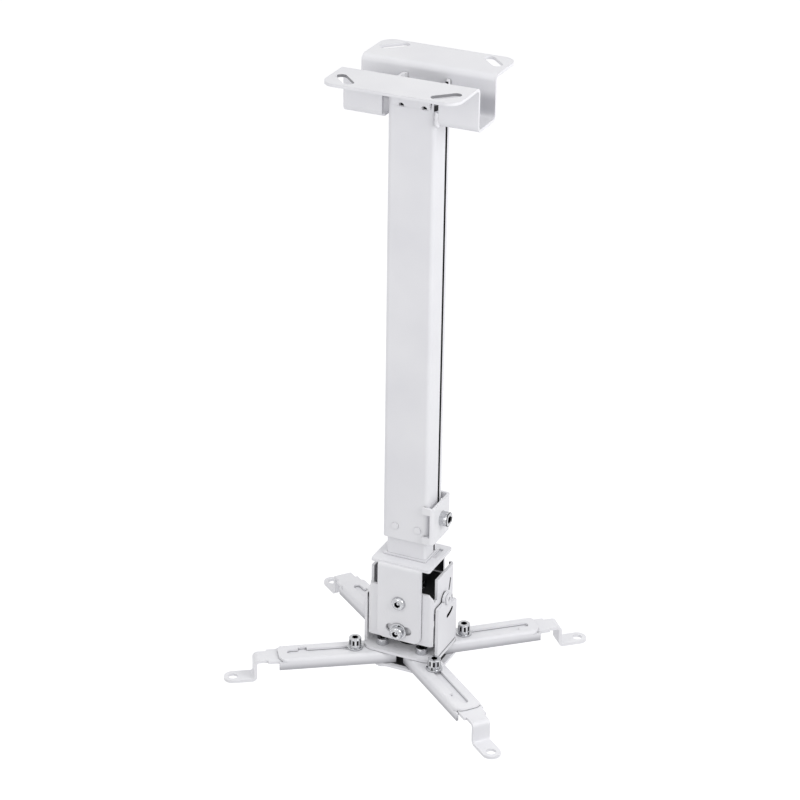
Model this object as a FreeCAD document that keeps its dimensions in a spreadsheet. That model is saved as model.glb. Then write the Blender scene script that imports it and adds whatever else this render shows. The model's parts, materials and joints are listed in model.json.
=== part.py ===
import FreeCAD, Part
import os
import re
import Sketcher
from FreeCAD import Placement, Rotation, Vector

# Projector mount: ceiling bracket, telescoping column, two-way tilt head and four arms.
# Millimetres, +Z up, origin on the column's axis in the plane of the ceiling.

SIZES = {
    # Ceiling bracket
    "bracket_length": 92,
    "bracket_depth": 96,
    "bracket_height": 30,
    "channel_width": 28,
    "bracket_sheet": 2,
    "bracket_bend": 2.5,
    "flange_corner": 9,
    "ceiling_slot_width": 7,
    "ceiling_slot_run": 9.2,
    "ceiling_slot_side": 34,
    "ceiling_slot_depth": 36.5,
    "opening_gap": 2.5,
    "opening_rise": 14,
    "tongue_width": 26,
    "tongue_drop": 20,
    "notch_spacing": 15.7,
    "notch_offset": 1.6,
    "notch_radius": 2.2,
    "notch_fall": 1.1,
    # Column
    "tube_width": 33.2,
    "tube_depth": 23.6,
    "tube_wall": 2,
    "tube_corner": 3,
    "tube_top": 7,
    "tube_bottom": 327,
    "seam_width": 2.4,
    "seam_offset": 5,
    "tube_lug_drop": 4,
    "bump_spacing": 16.4,
    "bump_offset": 1,
    "bump_radius": 2.5,
    "bump_height": 0.7,
    "bump_rise": 9.7,
    "slide_clearance": 0.3,
    "inner_wall": 1.5,
    "inner_length": 295,
    "foot_plate_width": 34,
    "foot_plate_depth": 19.6,
    "foot_plate_sheet": 2,
    "cable_hole": 14,
    # Column clamp
    "clamp_sheet": 1.8,
    "clamp_offset": 3.2,
    "clamp_clearance": 0.8,
    "clamp_height": 27,
    "clamp_rise": 2,
    "clamp_reach": 3.2,
    "clamp_finger": 5,
    "clamp_window": 2.4,
    "clamp_bend": 1,
    "clamp_nut_height": 2.8,
    "clamp_screw_rise": 16.5,
    # Tilt head
    "gimbal_drop": 371.4,
    "yoke_sheet": 2,
    "yoke_bend": 2,
    "yoke_rise": 29.4,
    "yoke_fall": 29.1,
    "yoke_plate_width": 32,
    "yoke_top_width": 43.2,
    "yoke_top_corner": 1.5,
    "top_slot_gap": 0.6,
    "top_slot_width": 3,
    "top_slot_length": 13,
    "top_slot_depth": 1.2,
    "yoke_corner": 5,
    "head_clearance": 0.3,
    "roll_lock_radius": 21.6,
    "roll_slot_angle": 17,
    "box_width": 49,
    "box_depth": 35,
    "box_sheet": 2,
    "box_bend": 1.5,
    "box_front_rise": 9.4,
    "box_side_rise": 19.4,
    "box_fall": 30.1,
    "box_front_chamfer": 4,
    "slit_width": 4.4,
    "slit_rise": 4.4,
    "relief_fall": 4.2,
    "back_slit_offset": 8.6,
    "back_slit_lean": 2,
    "back_slit_width": 1.8,
    "back_slit_rise": 2.6,
    "back_slit_length": 7.4,
    "pitch_slot_radius": 13.5,
    "pitch_slot_width": 3,
    "pitch_slot_angle": 16,
    "pitch_slot_lean": 18.5,
    # Hub
    "ear_sheet": 2,
    "ear_clearance": 0.8,
    "ear_width": 31,
    "ear_bend": 2,
    "lug_radius": 5,
    "shoulder_fall": 0.6,
    "back_shoulder_fall": 6,
    "shoulder_corner": 3,
    "hub_fall": 38.4,
    "hub_overhang": 0.4,
    "hub_depth": 44,
    "hub_corner": 9,
    "hub_sheet": 2,
    "hub_hole": 16,
    "pivot_side": 14.7,
    "pivot_depth": 13.2,
    "plate_gap": 0.2,
    # Arms
    "arm_width": 20,
    "arm_height": 8,
    "arm_sheet": 1.5,
    "arm_length": 72,
    "arm_tail": 8,
    "arm_end_corner": 6,
    "arm_edge": 2.4,
    "arm_notch_back": 20,
    "arm_notch_length": 6,
    "arm_notch_width": 5,
    "lock_at": 19,
    "arm_slot_back": 8.7,
    "front_left_angle": 33.6,
    "front_right_angle": 39.3,
    "rear_right_angle": 41.3,
    "rear_left_angle": 37.6,
    # Foot sliders
    "slider_sheet": 2,
    "slider_inset": 8,
    "slider_shoulder": 7.5,
    "slider_bend": 1.5,
    "foot_drop": 16,
    "foot_reach": 103,
    "foot_leg": 14,
    "foot_width": 12.6,
    "foot_hole": 6.6,
    # Fasteners
    "screw_thread": 6,
    "screw_head": 10,
    "screw_head_height": 5.6,
    "screw_socket": 5,
    "screw_end": 1,
    "button_head": 9.6,
    "button_height": 3,
    "button_socket": 4,
    "nut_width": 10,
    "nut_height": 5,
    "screw_washer": 12,
    "washer_height": 1.2,
    "spring_washer": 10,
    "spring_height": 1.5,
    "lock_thread": 5,
    "lock_head": 8.5,
    "lock_head_height": 5.4,
    "lock_socket": 4,
    "lock_nut_width": 8,
    "lock_nut_height": 3.9,
    "lock_washer": 11,
    "lock_spring": 9,
    "arm_pivot_head": 8.2,
    "arm_pivot_height": 4.5,
    "arm_pivot_nut_height": 3.6,
    "rivet_head": 8,
    "rivet_height": 1.2,
    "rivet_dent": 3.2,
    "running_fit": 0.06,
    "hole_clearance": 0.2,
    "face_gap": 0.1,
}

doc = FreeCAD.newDocument("projector_mount")
dims = doc.addObject("Spreadsheet::Sheet", "Dims")
for row, (alias, number) in enumerate(SIZES.items(), start=1):
    dims.set("A%d" % row, alias)
    dims.set("B%d" % row, str(number))
    dims.setAlias("B%d" % row, alias)
doc.recompute()

NODES = []


# Formulas that tie the pieces together

CHANNEL = "(channel_width / 2)"
CHANNEL_IN = "(channel_width / 2 - bracket_sheet)"
TUBE_X = "(tube_width / 2)"
TUBE_Y = "(tube_depth / 2)"
INNER_X = "(tube_width / 2 - tube_wall - slide_clearance)"
INNER_Y = "(tube_depth / 2 - tube_wall - slide_clearance)"
CLAMP_X = "(tube_width / 2 + clamp_offset)"
CLAMP_Y = "(tube_depth / 2 + clamp_clearance)"
CLAMP_Z = "(-tube_bottom + clamp_screw_rise)"
BOX_X = "(box_width / 2)"
BOX_Y = "(box_depth / 2)"
BOX_IN = "(box_depth / 2 - box_sheet)"
YOKE_IN = "(box_depth / 2 + head_clearance)"
YOKE_OUT = "(box_depth / 2 + head_clearance + yoke_sheet)"
YOKE_UNDER = "(yoke_rise - yoke_sheet)"
COLUMN_FOOT = "(-gimbal_drop + yoke_rise)"
EAR_IN = "(box_width / 2 + ear_clearance)"
EAR_OUT = "(box_width / 2 + ear_clearance + ear_sheet)"
HUB_X = "(box_width / 2 + ear_clearance + ear_sheet + hub_overhang)"
HUB_UNDER = "(hub_fall + hub_sheet)"
ARM_TOP = "(-gimbal_drop - hub_fall - hub_sheet - plate_gap)"
BASE_FALL = "(hub_fall + hub_sheet + 2 * plate_gap + arm_height)"
SLIDER_Y = "(arm_width / 2 - arm_sheet - slide_clearance)"
SLIDER_TOP = "(-arm_sheet - slide_clearance)"
SLIDER_LOW = "(-arm_sheet - slide_clearance - slider_sheet)"
FOOT_LEG = "(foot_reach - foot_leg)"
FOOT_START = "(foot_reach - foot_leg + slider_bend + face_gap)"
FOOT_END = "(foot_reach + foot_width / 2)"
RUN_HOLE = "(screw_thread / 2 + running_fit)"
FREE_HOLE = "(screw_thread / 2 + hole_clearance)"


# Helpers

def formula(text):
    """Give every size name in the text its place in the sheet."""
    return re.sub(r"[a-z_]+", lambda m: "Dims." + m.group() if m.group() in SIZES else m.group(), text)


def value(text):
    return float(dims.evalExpression(formula(text)))


def bind(thing, name, text):
    thing.setExpression(name, formula(text))


def new_body(label, z="0"):
    body = doc.addObject("PartDesign::Body", label)
    body.Label = label
    bind(body, "Placement.Base.z", z)
    NODES.append(body)
    return body


def new_sketch(body, plane, offset="0"):
    sketch = body.newObject("Sketcher::SketchObject", "Sketch")
    support = [f for f in body.Origin.OriginFeatures if f.Role == plane + "_Plane"][0]
    sketch.AttachmentSupport = [(support, "")]
    sketch.MapMode = "FlatFace"
    bind(sketch, "AttachmentOffset.Base.z", offset)
    return sketch


def fix_point(sketch, geometry, point, x, y):
    """Tie a point to the sketch's origin; x or y may be left out."""
    for kind, text in (("DistanceX", x), ("DistanceY", y)):
        if text is not None:
            rule = Sketcher.Constraint(kind, -1, 1, geometry, point, value(text))
            bind(sketch, "Constraints[%d]" % sketch.addConstraint(rule), text)


def fix_radius(sketch, geometry, text):
    rule = Sketcher.Constraint("Radius", geometry, value(text))
    bind(sketch, "Constraints[%d]" % sketch.addConstraint(rule), text)


def outline(sketch, corners):
    """Closed outline with every corner at its own formulas."""
    first = sketch.GeometryCount
    count = len(corners)
    points = [Vector(value(x), value(y), 0) for x, y in corners]
    for i in range(count):
        sketch.addGeometry(Part.LineSegment(points[i], points[(i + 1) % count]), False)
    for i in range(count):
        sketch.addConstraint(Sketcher.Constraint("Coincident", first + i, 2, first + (i + 1) % count, 1))
    for i, (x, y) in enumerate(corners):
        fix_point(sketch, first + i, 1, x, y)


def rectangle(sketch, x0, y0, x1, y1):
    outline(sketch, [(x0, y0), (x1, y0), (x1, y1), (x0, y1)])


def circle(sketch, x, y, radius):
    centre = Vector(value(x), value(y), 0)
    ring = sketch.addGeometry(Part.Circle(centre, Vector(0, 0, 1), value(radius)), False)
    fix_point(sketch, ring, 3, x, y)
    fix_radius(sketch, ring, radius)


def arc(sketch, centre, radius, start, end):
    """Arc drawn counter-clockwise between two directions from its centre."""
    ring = Part.Circle(centre, Vector(0, 0, 1), radius)
    angles = [Vector(1, 0, 0).getAngle(p - centre) * (1 if p.y >= centre.y else -1) for p in (start, end)]
    return sketch.addGeometry(Part.ArcOfCircle(ring, angles[0], angles[1]), False)


def straight_slot(sketch, x0, y0, x1, y1, radius):
    """Slot between two centres, with round ends."""
    a = Vector(value(x0), value(y0), 0)
    b = Vector(value(x1), value(y1), 0)
    r = value(radius)
    run = (b - a).normalize()
    side = Vector(-run.y, run.x, 0) * r
    one = arc(sketch, a, r, a + side, a - side)
    low = sketch.addGeometry(Part.LineSegment(a - side, b - side), False)
    two = arc(sketch, b, r, b - side, b + side)
    top = sketch.addGeometry(Part.LineSegment(b + side, a + side), False)
    loop = [one, low, two, top]
    for i in range(4):
        sketch.addConstraint(Sketcher.Constraint("Tangent", loop[i], 2, loop[(i + 1) % 4], 1))
    fix_point(sketch, one, 3, x0, y0)
    fix_point(sketch, two, 3, x1, y1)
    fix_radius(sketch, one, radius)


def hanging_slot(sketch, radius, angle, half, lean="0"):
    """Curved slot below the origin, its middle line on the given radius; it may lean to the right."""
    reach = value(radius)
    width = value(half)
    left_x = "(%s) * sin((%s - %s) * 1deg)" % (radius, lean, angle)
    left_y = "-(%s) * cos((%s - %s) * 1deg)" % (radius, lean, angle)
    right_x = "(%s) * sin((%s + %s) * 1deg)" % (radius, lean, angle)
    right_y = "-(%s) * cos((%s + %s) * 1deg)" % (radius, lean, angle)
    centre = Vector(0, 0, 0)
    left = Vector(value(left_x), value(left_y), 0)
    right = Vector(value(right_x), value(right_y), 0)
    outer = arc(sketch, centre, reach + width, left * (1 + width / reach), right * (1 + width / reach))
    inner = arc(sketch, centre, reach - width, left * (1 - width / reach), right * (1 - width / reach))
    end_r = arc(sketch, right, width, right * (1 + width / reach), right * (1 - width / reach))
    end_l = arc(sketch, left, width, left * (1 - width / reach), left * (1 + width / reach))
    joins = ((outer, 2, end_r, 1), (end_r, 2, inner, 2), (inner, 1, end_l, 1), (end_l, 2, outer, 1))
    for one, a, two, b in joins:
        sketch.addConstraint(Sketcher.Constraint("Tangent", one, a, two, b))
    sketch.addConstraint(Sketcher.Constraint("Coincident", outer, 3, -1, 1))
    sketch.addConstraint(Sketcher.Constraint("Coincident", inner, 3, -1, 1))
    fix_point(sketch, end_r, 3, right_x, right_y)
    fix_point(sketch, end_l, 3, left_x, None)
    fix_radius(sketch, end_r, half)


def pad(body, sketch, length, symmetric=False, reverse=False):
    feature = body.newObject("PartDesign::Pad", "Pad")
    feature.Profile = sketch
    bind(feature, "Length", length)
    feature.SideType = "Symmetric" if symmetric else "One side"
    feature.Reversed = reverse
    doc.recompute()
    return feature


def pocket(body, sketch, length=None, reverse=False):
    """Cut to a length on one side, or right through both ways."""
    before = body.Shape.Volume
    feature = body.newObject("PartDesign::Pocket", "Pocket")
    feature.Profile = sketch
    if length is None:
        feature.Type = "ThroughAll"
        feature.SideType = "Symmetric"
    else:
        bind(feature, "Length", length)
        feature.SideType = "One side"
        feature.Reversed = reverse
    doc.recompute()
    if not feature.Shape.Volume < before - 1e-6:
        raise RuntimeError("a cut in %s removes nothing" % body.Label)
    return feature


def straight(edge, axis):
    if edge.Curve.TypeId != "Part::GeomLine":
        return False
    return abs(edge.Curve.Direction.dot(axis)) > 0.999


def near(a, b):
    return abs(a - b) < 1e-3


def fillet(body, radius, chosen):
    """Round the edges of the body's last shape that the test picks."""
    tip = body.Tip
    names = ["Edge%d" % i for i, edge in enumerate(tip.Shape.Edges, start=1) if chosen(edge)]
    if not names:
        raise RuntimeError("no edges to round in " + body.Label)
    feature = body.newObject("PartDesign::Fillet", "Fillet")
    feature.Base = (tip, names)
    bind(feature, "Radius", radius)
    doc.recompute()
    return feature


def along(axis, first, second):
    """Test for straight edges along an axis that stand at the given distances from the other two axes."""
    direction = Vector(*[1 if name == axis else 0 for name in "xyz"])
    others = [name for name in "xyz" if name != axis]

    def chosen(edge):
        if not straight(edge, direction):
            return False
        spot = edge.CenterOfMass
        u, v = (getattr(spot, name) for name in others)
        return first(u) and second(v)

    return chosen


def at(text, mirrored=False):
    target = value(text)
    return lambda number: near(abs(number) if mirrored else number, target)


def anywhere(number):
    return True


X_AXIS = Vector(1, 0, 0)
Y_AXIS = Vector(0, 1, 0)
Z_AXIS = Vector(0, 0, 1)
UP = (Z_AXIS, 0)
FRONT = (X_AXIS, 90)
BACK = (X_AXIS, -90)
RIGHT = (Y_AXIS, 90)
LEFT = (Y_AXIS, -90)


def stand(thing, way, x, y, z):
    """Place a fastener with its own +Z turned the given way."""
    thing.Placement = Placement(Vector(), Rotation(way[0], way[1]))
    for axis, text in (("x", x), ("y", y), ("z", z)):
        bind(thing, "Placement.Base." + axis, text)


def cylinder(radius, low, high):
    rod = doc.addObject("Part::Cylinder", "Rod")
    bind(rod, "Radius", radius)
    bind(rod, "Height", "%s - (%s)" % (high, low))
    bind(rod, "Placement.Base.z", low)
    return rod


def hexagon(width, low, high):
    bar = doc.addObject("Part::Prism", "Hexagon")
    bar.Polygon = 6
    bind(bar, "Circumradius", "%s / 2 / cos(30deg)" % width)
    bind(bar, "Height", "%s - (%s)" % (high, low))
    bind(bar, "Placement.Base.z", low)
    return bar


def cut(base, tool, label):
    piece = doc.addObject("Part::Cut", label)
    piece.Base = base
    piece.Tool = tool
    piece.Label = label
    return piece


def cap_screw(label, head, height, socket, thread, length):
    """Screw with a round head above its own origin, a six-sided socket and a plain shank below."""
    joined = doc.addObject("Part::MultiFuse", "Blank")
    joined.Shapes = [
        cylinder(head + " / 2", "0", height),
        cylinder(thread + " / 2", "-(%s)" % length, "0.001")]
    depth = "%s * 0.45" % height
    return cut(joined, hexagon(socket, depth, height + " + 1"), label)


def nut(label, width, height, thread):
    """Six-sided nut above its own origin, a little clear of its screw."""
    bore = cylinder(thread + " / 2 + running_fit", "-1", height + " + 1")
    return cut(hexagon(width, "0", height), bore, label)


def washer(label, width, height, thread):
    hole = cylinder(thread + " / 2 + hole_clearance", "-1", height + " + 1")
    return cut(cylinder(width + " / 2", "0", height), hole, label)


def group(label, pieces):
    """One node from separate solids."""
    node = doc.addObject("Part::Compound", label)
    node.Label = label
    node.Links = pieces
    NODES.append(node)
    return node


def single(piece):
    NODES.append(piece)
    return piece


# Ceiling bracket: one folded hat section

def make_ceiling_bracket():
    body = new_body("ceiling_bracket")
    section = new_sketch(body, "YZ")
    low, sheet = "-bracket_height", "-bracket_sheet"
    floor = "-bracket_height + bracket_sheet"
    edge = "bracket_depth / 2"
    outline(section, [
        ("-" + edge, "0"), ("-" + CHANNEL_IN, "0"), ("-" + CHANNEL_IN, floor), (CHANNEL_IN, floor),
        (CHANNEL_IN, "0"), (edge, "0"), (edge, sheet), (CHANNEL, sheet), (CHANNEL, low),
        ("-" + CHANNEL, low), ("-" + CHANNEL, sheet), ("-" + edge, sheet)])
    pad(body, section, "bracket_length", symmetric=True)
    fillet(body, "flange_corner", along("z", at("bracket_length / 2", True), at(edge, True)))
    fillet(body, "bracket_bend + bracket_sheet", along("x", at(CHANNEL_IN, True), at("0")))
    fillet(body, "bracket_bend + bracket_sheet", along("x", at(CHANNEL, True), at(low)))
    fillet(body, "bracket_bend", along("x", at(CHANNEL, True), at(sheet)))
    fillet(body, "bracket_bend", along("x", at(CHANNEL_IN, True), at(floor)))
    slots = new_sketch(body, "XY")
    half = "ceiling_slot_run / 2"
    for side, depth in ((-1, -1), (1, -1), (1, 1), (-1, 1)):
        x = "%d * ceiling_slot_side" % side
        y = "%d * ceiling_slot_depth" % depth
        slant = "%d * %s" % (-side * depth, half)
        straight_slot(slots, x + " - " + half, y + " - " + slant, x + " + " + half, y + " + " + slant,
                      "ceiling_slot_width / 2")
    pocket(body, slots)
    opening = new_sketch(body, "XZ", "-%s - face_gap" % TUBE_Y)
    wide = "(%s + opening_gap)" % TUBE_X
    tongue = "(tongue_width / 2)"
    outline(opening, [
        ("-" + wide, low + " - 1"), ("-" + wide, "-opening_rise"), ("-" + tongue, "-opening_rise"),
        ("-" + tongue, "-tongue_drop"), (tongue, "-tongue_drop"), (tongue, "-opening_rise"),
        (wide, "-opening_rise"), (wide, low + " - 1")])
    pocket(body, opening, "channel_width", reverse=True)
    notches = new_sketch(body, "XZ", "%s - face_gap" % CHANNEL_IN)
    for side in (-1, 1):
        circle(notches, "notch_offset + %d * notch_spacing / 2" % side, "-tongue_drop", "notch_radius")
    pocket(body, notches, "bracket_sheet + 1", reverse=True)


# Column: two folded tubes, one sliding in the other

def tube_section(sketch, x, y, wall, seam_low, seam_high, side):
    """C-shaped section, open at a seam on one side."""
    out, inner = "%d * %s" % (side, x), "%d * (%s - %s)" % (side, x, wall)
    far, far_in = "%d * %s" % (-side, x), "%d * (%s - %s)" % (-side, x, wall)
    y_in = "(%s - %s)" % (y, wall)
    outline(sketch, [
        (out, seam_high), (out, y), (far, y), (far, "-" + y), (out, "-" + y), (out, seam_low),
        (inner, seam_low), (inner, "-" + y_in), (far_in, "-" + y_in), (far_in, y_in), (inner, y_in),
        (inner, seam_high)])


def make_outer_tube():
    body = new_body("outer_tube")
    section = new_sketch(body, "XY", "-tube_bottom")
    tube_section(section, TUBE_X, TUBE_Y, "tube_wall", "seam_offset - seam_width / 2",
                 "seam_offset + seam_width / 2", 1)
    pad(body, section, "tube_bottom - tube_top")
    fillet(body, "tube_corner", along("z", at(TUBE_X, True), at(TUBE_Y, True)))
    fillet(body, "tube_corner - tube_wall",
           along("z", at(TUBE_X + " - tube_wall", True), at(TUBE_Y + " - tube_wall", True)))
    window = "(%s - tube_corner)" % TUBE_X
    front = new_sketch(body, "XZ", "%s - tube_wall - face_gap" % TUBE_Y)
    rectangle(front, "-" + window, "-tongue_drop + notch_radius", window, "0")
    pocket(body, front, "tube_wall + 1", reverse=True)
    notches = new_sketch(body, "XZ", "%s - tube_wall - face_gap" % TUBE_Y)
    for side in (-1, 1):
        middle = "notch_offset + %d * notch_spacing / 2" % side
        rectangle(notches, middle + " - notch_radius", "-tongue_drop - notch_fall",
                  middle + " + notch_radius", "-tongue_drop + notch_radius + 1")
    pocket(body, notches, "tube_wall + 1", reverse=True)
    back = new_sketch(body, "XZ", "-%s + tube_wall + face_gap" % TUBE_Y)
    rectangle(back, "-" + window, "-tube_top - tube_lug_drop", window, "0")
    pocket(body, back, "tube_wall + 1")
    bumps = new_sketch(body, "XZ", TUBE_Y + " - tube_wall / 2")
    circle(bumps, "bump_offset + bump_spacing / 2", "-tube_bottom + bump_rise", "bump_radius")
    circle(bumps, "bump_offset - bump_spacing / 2", "-tube_bottom + bump_rise", "bump_radius")
    pad(body, bumps, "tube_wall / 2 + bump_height")
    screw_way = new_sketch(body, "YZ", TUBE_X + " + 1")
    circle(screw_way, "0", CLAMP_Z, FREE_HOLE)
    pocket(body, screw_way, "tube_wall + 2")


def make_inner_tube():
    body = new_body("inner_tube", COLUMN_FOOT + " + foot_plate_sheet")
    section = new_sketch(body, "XY")
    tube_section(section, INNER_X, INNER_Y, "inner_wall", "seam_offset - seam_width / 2",
                 "seam_offset + seam_width / 2", 1)
    pad(body, section, "inner_length")
    fillet(body, "inner_wall + slide_clearance", along("z", at(INNER_X, True), at(INNER_Y, True)))
    plate = new_body("tube_foot_plate", COLUMN_FOOT)
    shape = new_sketch(plate, "XY")
    edge = INNER_X + " + slide_clearance"
    rectangle(shape, "-foot_plate_width / 2", "-foot_plate_depth / 2", edge, "foot_plate_depth / 2")
    circle(shape, "0", "0", "cable_hole / 2")
    pad(plate, shape, "foot_plate_sheet")
    fillet(plate, "tube_corner / 2",
           along("z", at("-foot_plate_width / 2"), at("foot_plate_depth / 2", True)))


def make_tube_clamp():
    body = new_body("tube_clamp")
    section = new_sketch(body, "XY", "-tube_bottom + clamp_rise")
    out_x, out_y = "(%s + clamp_sheet)" % CLAMP_X, "(%s + clamp_sheet)" % CLAMP_Y
    tip = "(%s - clamp_reach)" % TUBE_X
    outline(section, [
        (out_x, "-" + out_y), (out_x, out_y), (tip, out_y), (tip, CLAMP_Y), (CLAMP_X, CLAMP_Y),
        (CLAMP_X, "-" + CLAMP_Y), (tip, "-" + CLAMP_Y), (tip, "-" + out_y)])
    pad(body, section, "clamp_height")
    fillet(body, "clamp_bend + clamp_sheet", along("z", at(out_x), at(out_y, True)))
    fillet(body, "clamp_bend", along("z", at(CLAMP_X), at(CLAMP_Y, True)))
    gap = new_sketch(body, "XZ")
    low = "-tube_bottom + clamp_rise"
    rectangle(gap, tip + " - 1", low + " + clamp_finger", TUBE_X + " + clamp_window",
              low + " + clamp_height - clamp_finger")
    pocket(body, gap)
    thread = new_sketch(body, "YZ", out_x + " + 1")
    circle(thread, "0", CLAMP_Z, FREE_HOLE)
    pocket(body, thread, "clamp_sheet + 2")
    fixed = single(nut("clamp_nut", "nut_width", "clamp_nut_height", "screw_thread"))
    stand(fixed, RIGHT, CLAMP_X + " - clamp_nut_height", "0", CLAMP_Z)
    reach = "%s - (%s) - face_gap" % (out_x, INNER_X)
    screw = single(cap_screw("clamp_screw", "screw_head", "screw_head_height", "screw_socket", "screw_thread",
                             reach))
    stand(screw, RIGHT, out_x, "0", CLAMP_Z)


# Tilt head: two U brackets crossed over a folded box

def make_upper_tilt_bracket():
    body = new_body("upper_tilt_bracket", "-gimbal_drop")
    section = new_sketch(body, "YZ")
    low = "-yoke_fall"
    outline(section, [
        ("-" + YOKE_OUT, low), ("-" + YOKE_IN, low), ("-" + YOKE_IN, YOKE_UNDER), (YOKE_IN, YOKE_UNDER),
        (YOKE_IN, low), (YOKE_OUT, low), (YOKE_OUT, "yoke_rise"), ("-" + YOKE_OUT, "yoke_rise")])
    pad(body, section, "yoke_plate_width", symmetric=True)
    fillet(body, "yoke_bend + yoke_sheet", along("x", at(YOKE_OUT, True), at("yoke_rise")))
    fillet(body, "yoke_bend", along("x", at(YOKE_IN, True), at(YOKE_UNDER)))
    fillet(body, "yoke_corner", along("y", at("yoke_plate_width / 2", True), at(low)))
    top = new_sketch(body, "XY", YOKE_UNDER)
    deep = "(%s - yoke_bend / 2)" % YOKE_OUT
    rectangle(top, "-yoke_top_width / 2", "-" + deep, "yoke_top_width / 2", deep)
    pad(body, top, "yoke_sheet")
    fillet(body, "yoke_top_corner", along("z", at("yoke_top_width / 2", True), at(deep, True)))
    holes = new_sketch(body, "XZ")
    circle(holes, "0", "0", RUN_HOLE)
    hanging_slot(holes, "roll_lock_radius", "roll_slot_angle", FREE_HOLE)
    pocket(body, holes)
    way = new_sketch(body, "XY", "yoke_rise + 1")
    circle(way, "0", "0", "cable_hole / 2")
    pocket(body, way, "yoke_sheet + 2")
    groove = new_sketch(body, "XY", "yoke_rise")
    beside = INNER_X + " + top_slot_gap"
    rectangle(groove, beside, "0", beside + " + top_slot_width", "top_slot_length")
    pocket(body, groove, "top_slot_depth")


def make_tilt_box():
    body = new_body("tilt_box", "-gimbal_drop")
    ring = new_sketch(body, "XY", "-box_fall")
    in_x = "(%s - box_sheet)" % BOX_X
    rectangle(ring, "-" + BOX_X, "-" + BOX_Y, BOX_X, BOX_Y)
    rectangle(ring, "-" + in_x, "-" + BOX_IN, in_x, BOX_IN)
    pad(body, ring, "box_fall + box_side_rise")
    fillet(body, "box_bend + box_sheet", along("z", at(BOX_X, True), at(BOX_Y, True)))
    fillet(body, "box_bend", along("z", at(in_x, True), at(BOX_IN, True)))
    over = "box_side_rise + 1"
    front = new_sketch(body, "XZ", BOX_IN)
    wide = "(%s + 1)" % BOX_X
    slope = "(%s - box_front_chamfer)" % BOX_X
    low = "box_front_rise - box_front_chamfer"
    outline(front, [
        ("-" + wide, over), ("-" + wide, low + " - 1"), ("-" + slope, "box_front_rise"),
        (slope, "box_front_rise"), (wide, low + " - 1"), (wide, over)])
    pocket(body, front, "box_sheet + 1", reverse=True)
    back = new_sketch(body, "XZ", "-" + BOX_IN)
    edge = "(%s - box_sheet - box_bend)" % BOX_X
    rectangle(back, "-" + edge, "box_front_rise", edge, over)
    pocket(body, back, "box_sheet + 1")
    slits = new_sketch(body, "YZ")
    rectangle(slits, "-" + BOX_IN, "slit_rise", "-%s + slit_width" % BOX_IN, over)
    rectangle(slits, "-" + BOX_IN, "-box_fall - 1", "-%s + slit_width" % BOX_IN, "-relief_fall")
    rectangle(slits, BOX_IN + " - slit_width", "-box_fall - 1", BOX_IN, "-relief_fall")
    straight_slot(slits, "back_slit_offset", "back_slit_rise", "back_slit_offset + back_slit_lean",
                  "back_slit_rise + back_slit_length", "back_slit_width / 2")
    hanging_slot(slits, "pitch_slot_radius", "pitch_slot_angle", "pitch_slot_width / 2", "pitch_slot_lean")
    circle(slits, "0", "0", FREE_HOLE)
    pocket(body, slits)
    bores = new_sketch(body, "XZ")
    circle(bores, "0", "0", FREE_HOLE)
    circle(bores, "0", "-roll_lock_radius", FREE_HOLE)
    pocket(body, bores)


def make_hub():
    body = new_body("hub_bracket", "-gimbal_drop")
    section = new_sketch(body, "XZ")
    top = "lug_radius"
    outline(section, [
        ("-" + EAR_OUT, top), ("-" + EAR_OUT, "-" + HUB_UNDER), (EAR_OUT, "-" + HUB_UNDER), (EAR_OUT, top),
        (EAR_IN, top), (EAR_IN, "-hub_fall"), ("-" + EAR_IN, "-hub_fall"), ("-" + EAR_IN, top)])
    pad(body, section, "ear_width", symmetric=True)
    fillet(body, "ear_bend + ear_sheet", along("y", at(EAR_OUT, True), at("-" + HUB_UNDER)))
    fillet(body, "ear_bend", along("y", at(EAR_IN, True), at("-hub_fall")))
    shoulders = new_sketch(body, "YZ")
    for side, fall in ((-1, "-shoulder_fall"), (1, "-back_shoulder_fall")):
        rectangle(shoulders, "%d * lug_radius" % side, fall, "%d * (ear_width / 2 + 1)" % side, top + " + 1")
    pocket(body, shoulders)
    fillet(body, "lug_radius - 0.1", along("x", at("lug_radius", True), at(top)))
    fillet(body, "shoulder_corner", along("x", at("ear_width / 2"), at("-back_shoulder_fall")))
    slots = new_sketch(body, "YZ")
    circle(slots, "0", "0", RUN_HOLE)
    hanging_slot(slots, "pitch_slot_radius", "pitch_slot_angle", "pitch_slot_width / 2", "pitch_slot_lean")
    pocket(body, slots)
    plate = new_sketch(body, "XY", "-" + HUB_UNDER)
    rectangle(plate, "-" + HUB_X, "-hub_depth / 2", HUB_X, "hub_depth / 2")
    pad(body, plate, "hub_sheet")
    fillet(body, "hub_corner", along("z", at(HUB_X, True), at("hub_depth / 2", True)))
    hub_holes(body, "-hub_fall + 1")
    base = new_body("hub_base_plate", "-gimbal_drop")
    lower = new_sketch(base, "XY", "-" + BASE_FALL)
    rectangle(lower, "-" + HUB_X, "-hub_depth / 2", HUB_X, "hub_depth / 2")
    pad(base, lower, "hub_sheet", reverse=True)
    fillet(base, "hub_corner", along("z", at(HUB_X, True), at("hub_depth / 2", True)))
    hub_holes(base, "-%s + 1" % BASE_FALL)


def hub_holes(body, start):
    holes = new_sketch(body, "XY", start)
    circle(holes, "0", "0", "hub_hole / 2")
    for side in (-1, 1):
        for depth in (-1, 1):
            circle(holes, "%d * pivot_side" % side, "%d * pivot_depth" % depth, FREE_HOLE)
    pocket(body, holes, "hub_sheet + 2")


# Fasteners of the tilt head and the hub

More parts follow.
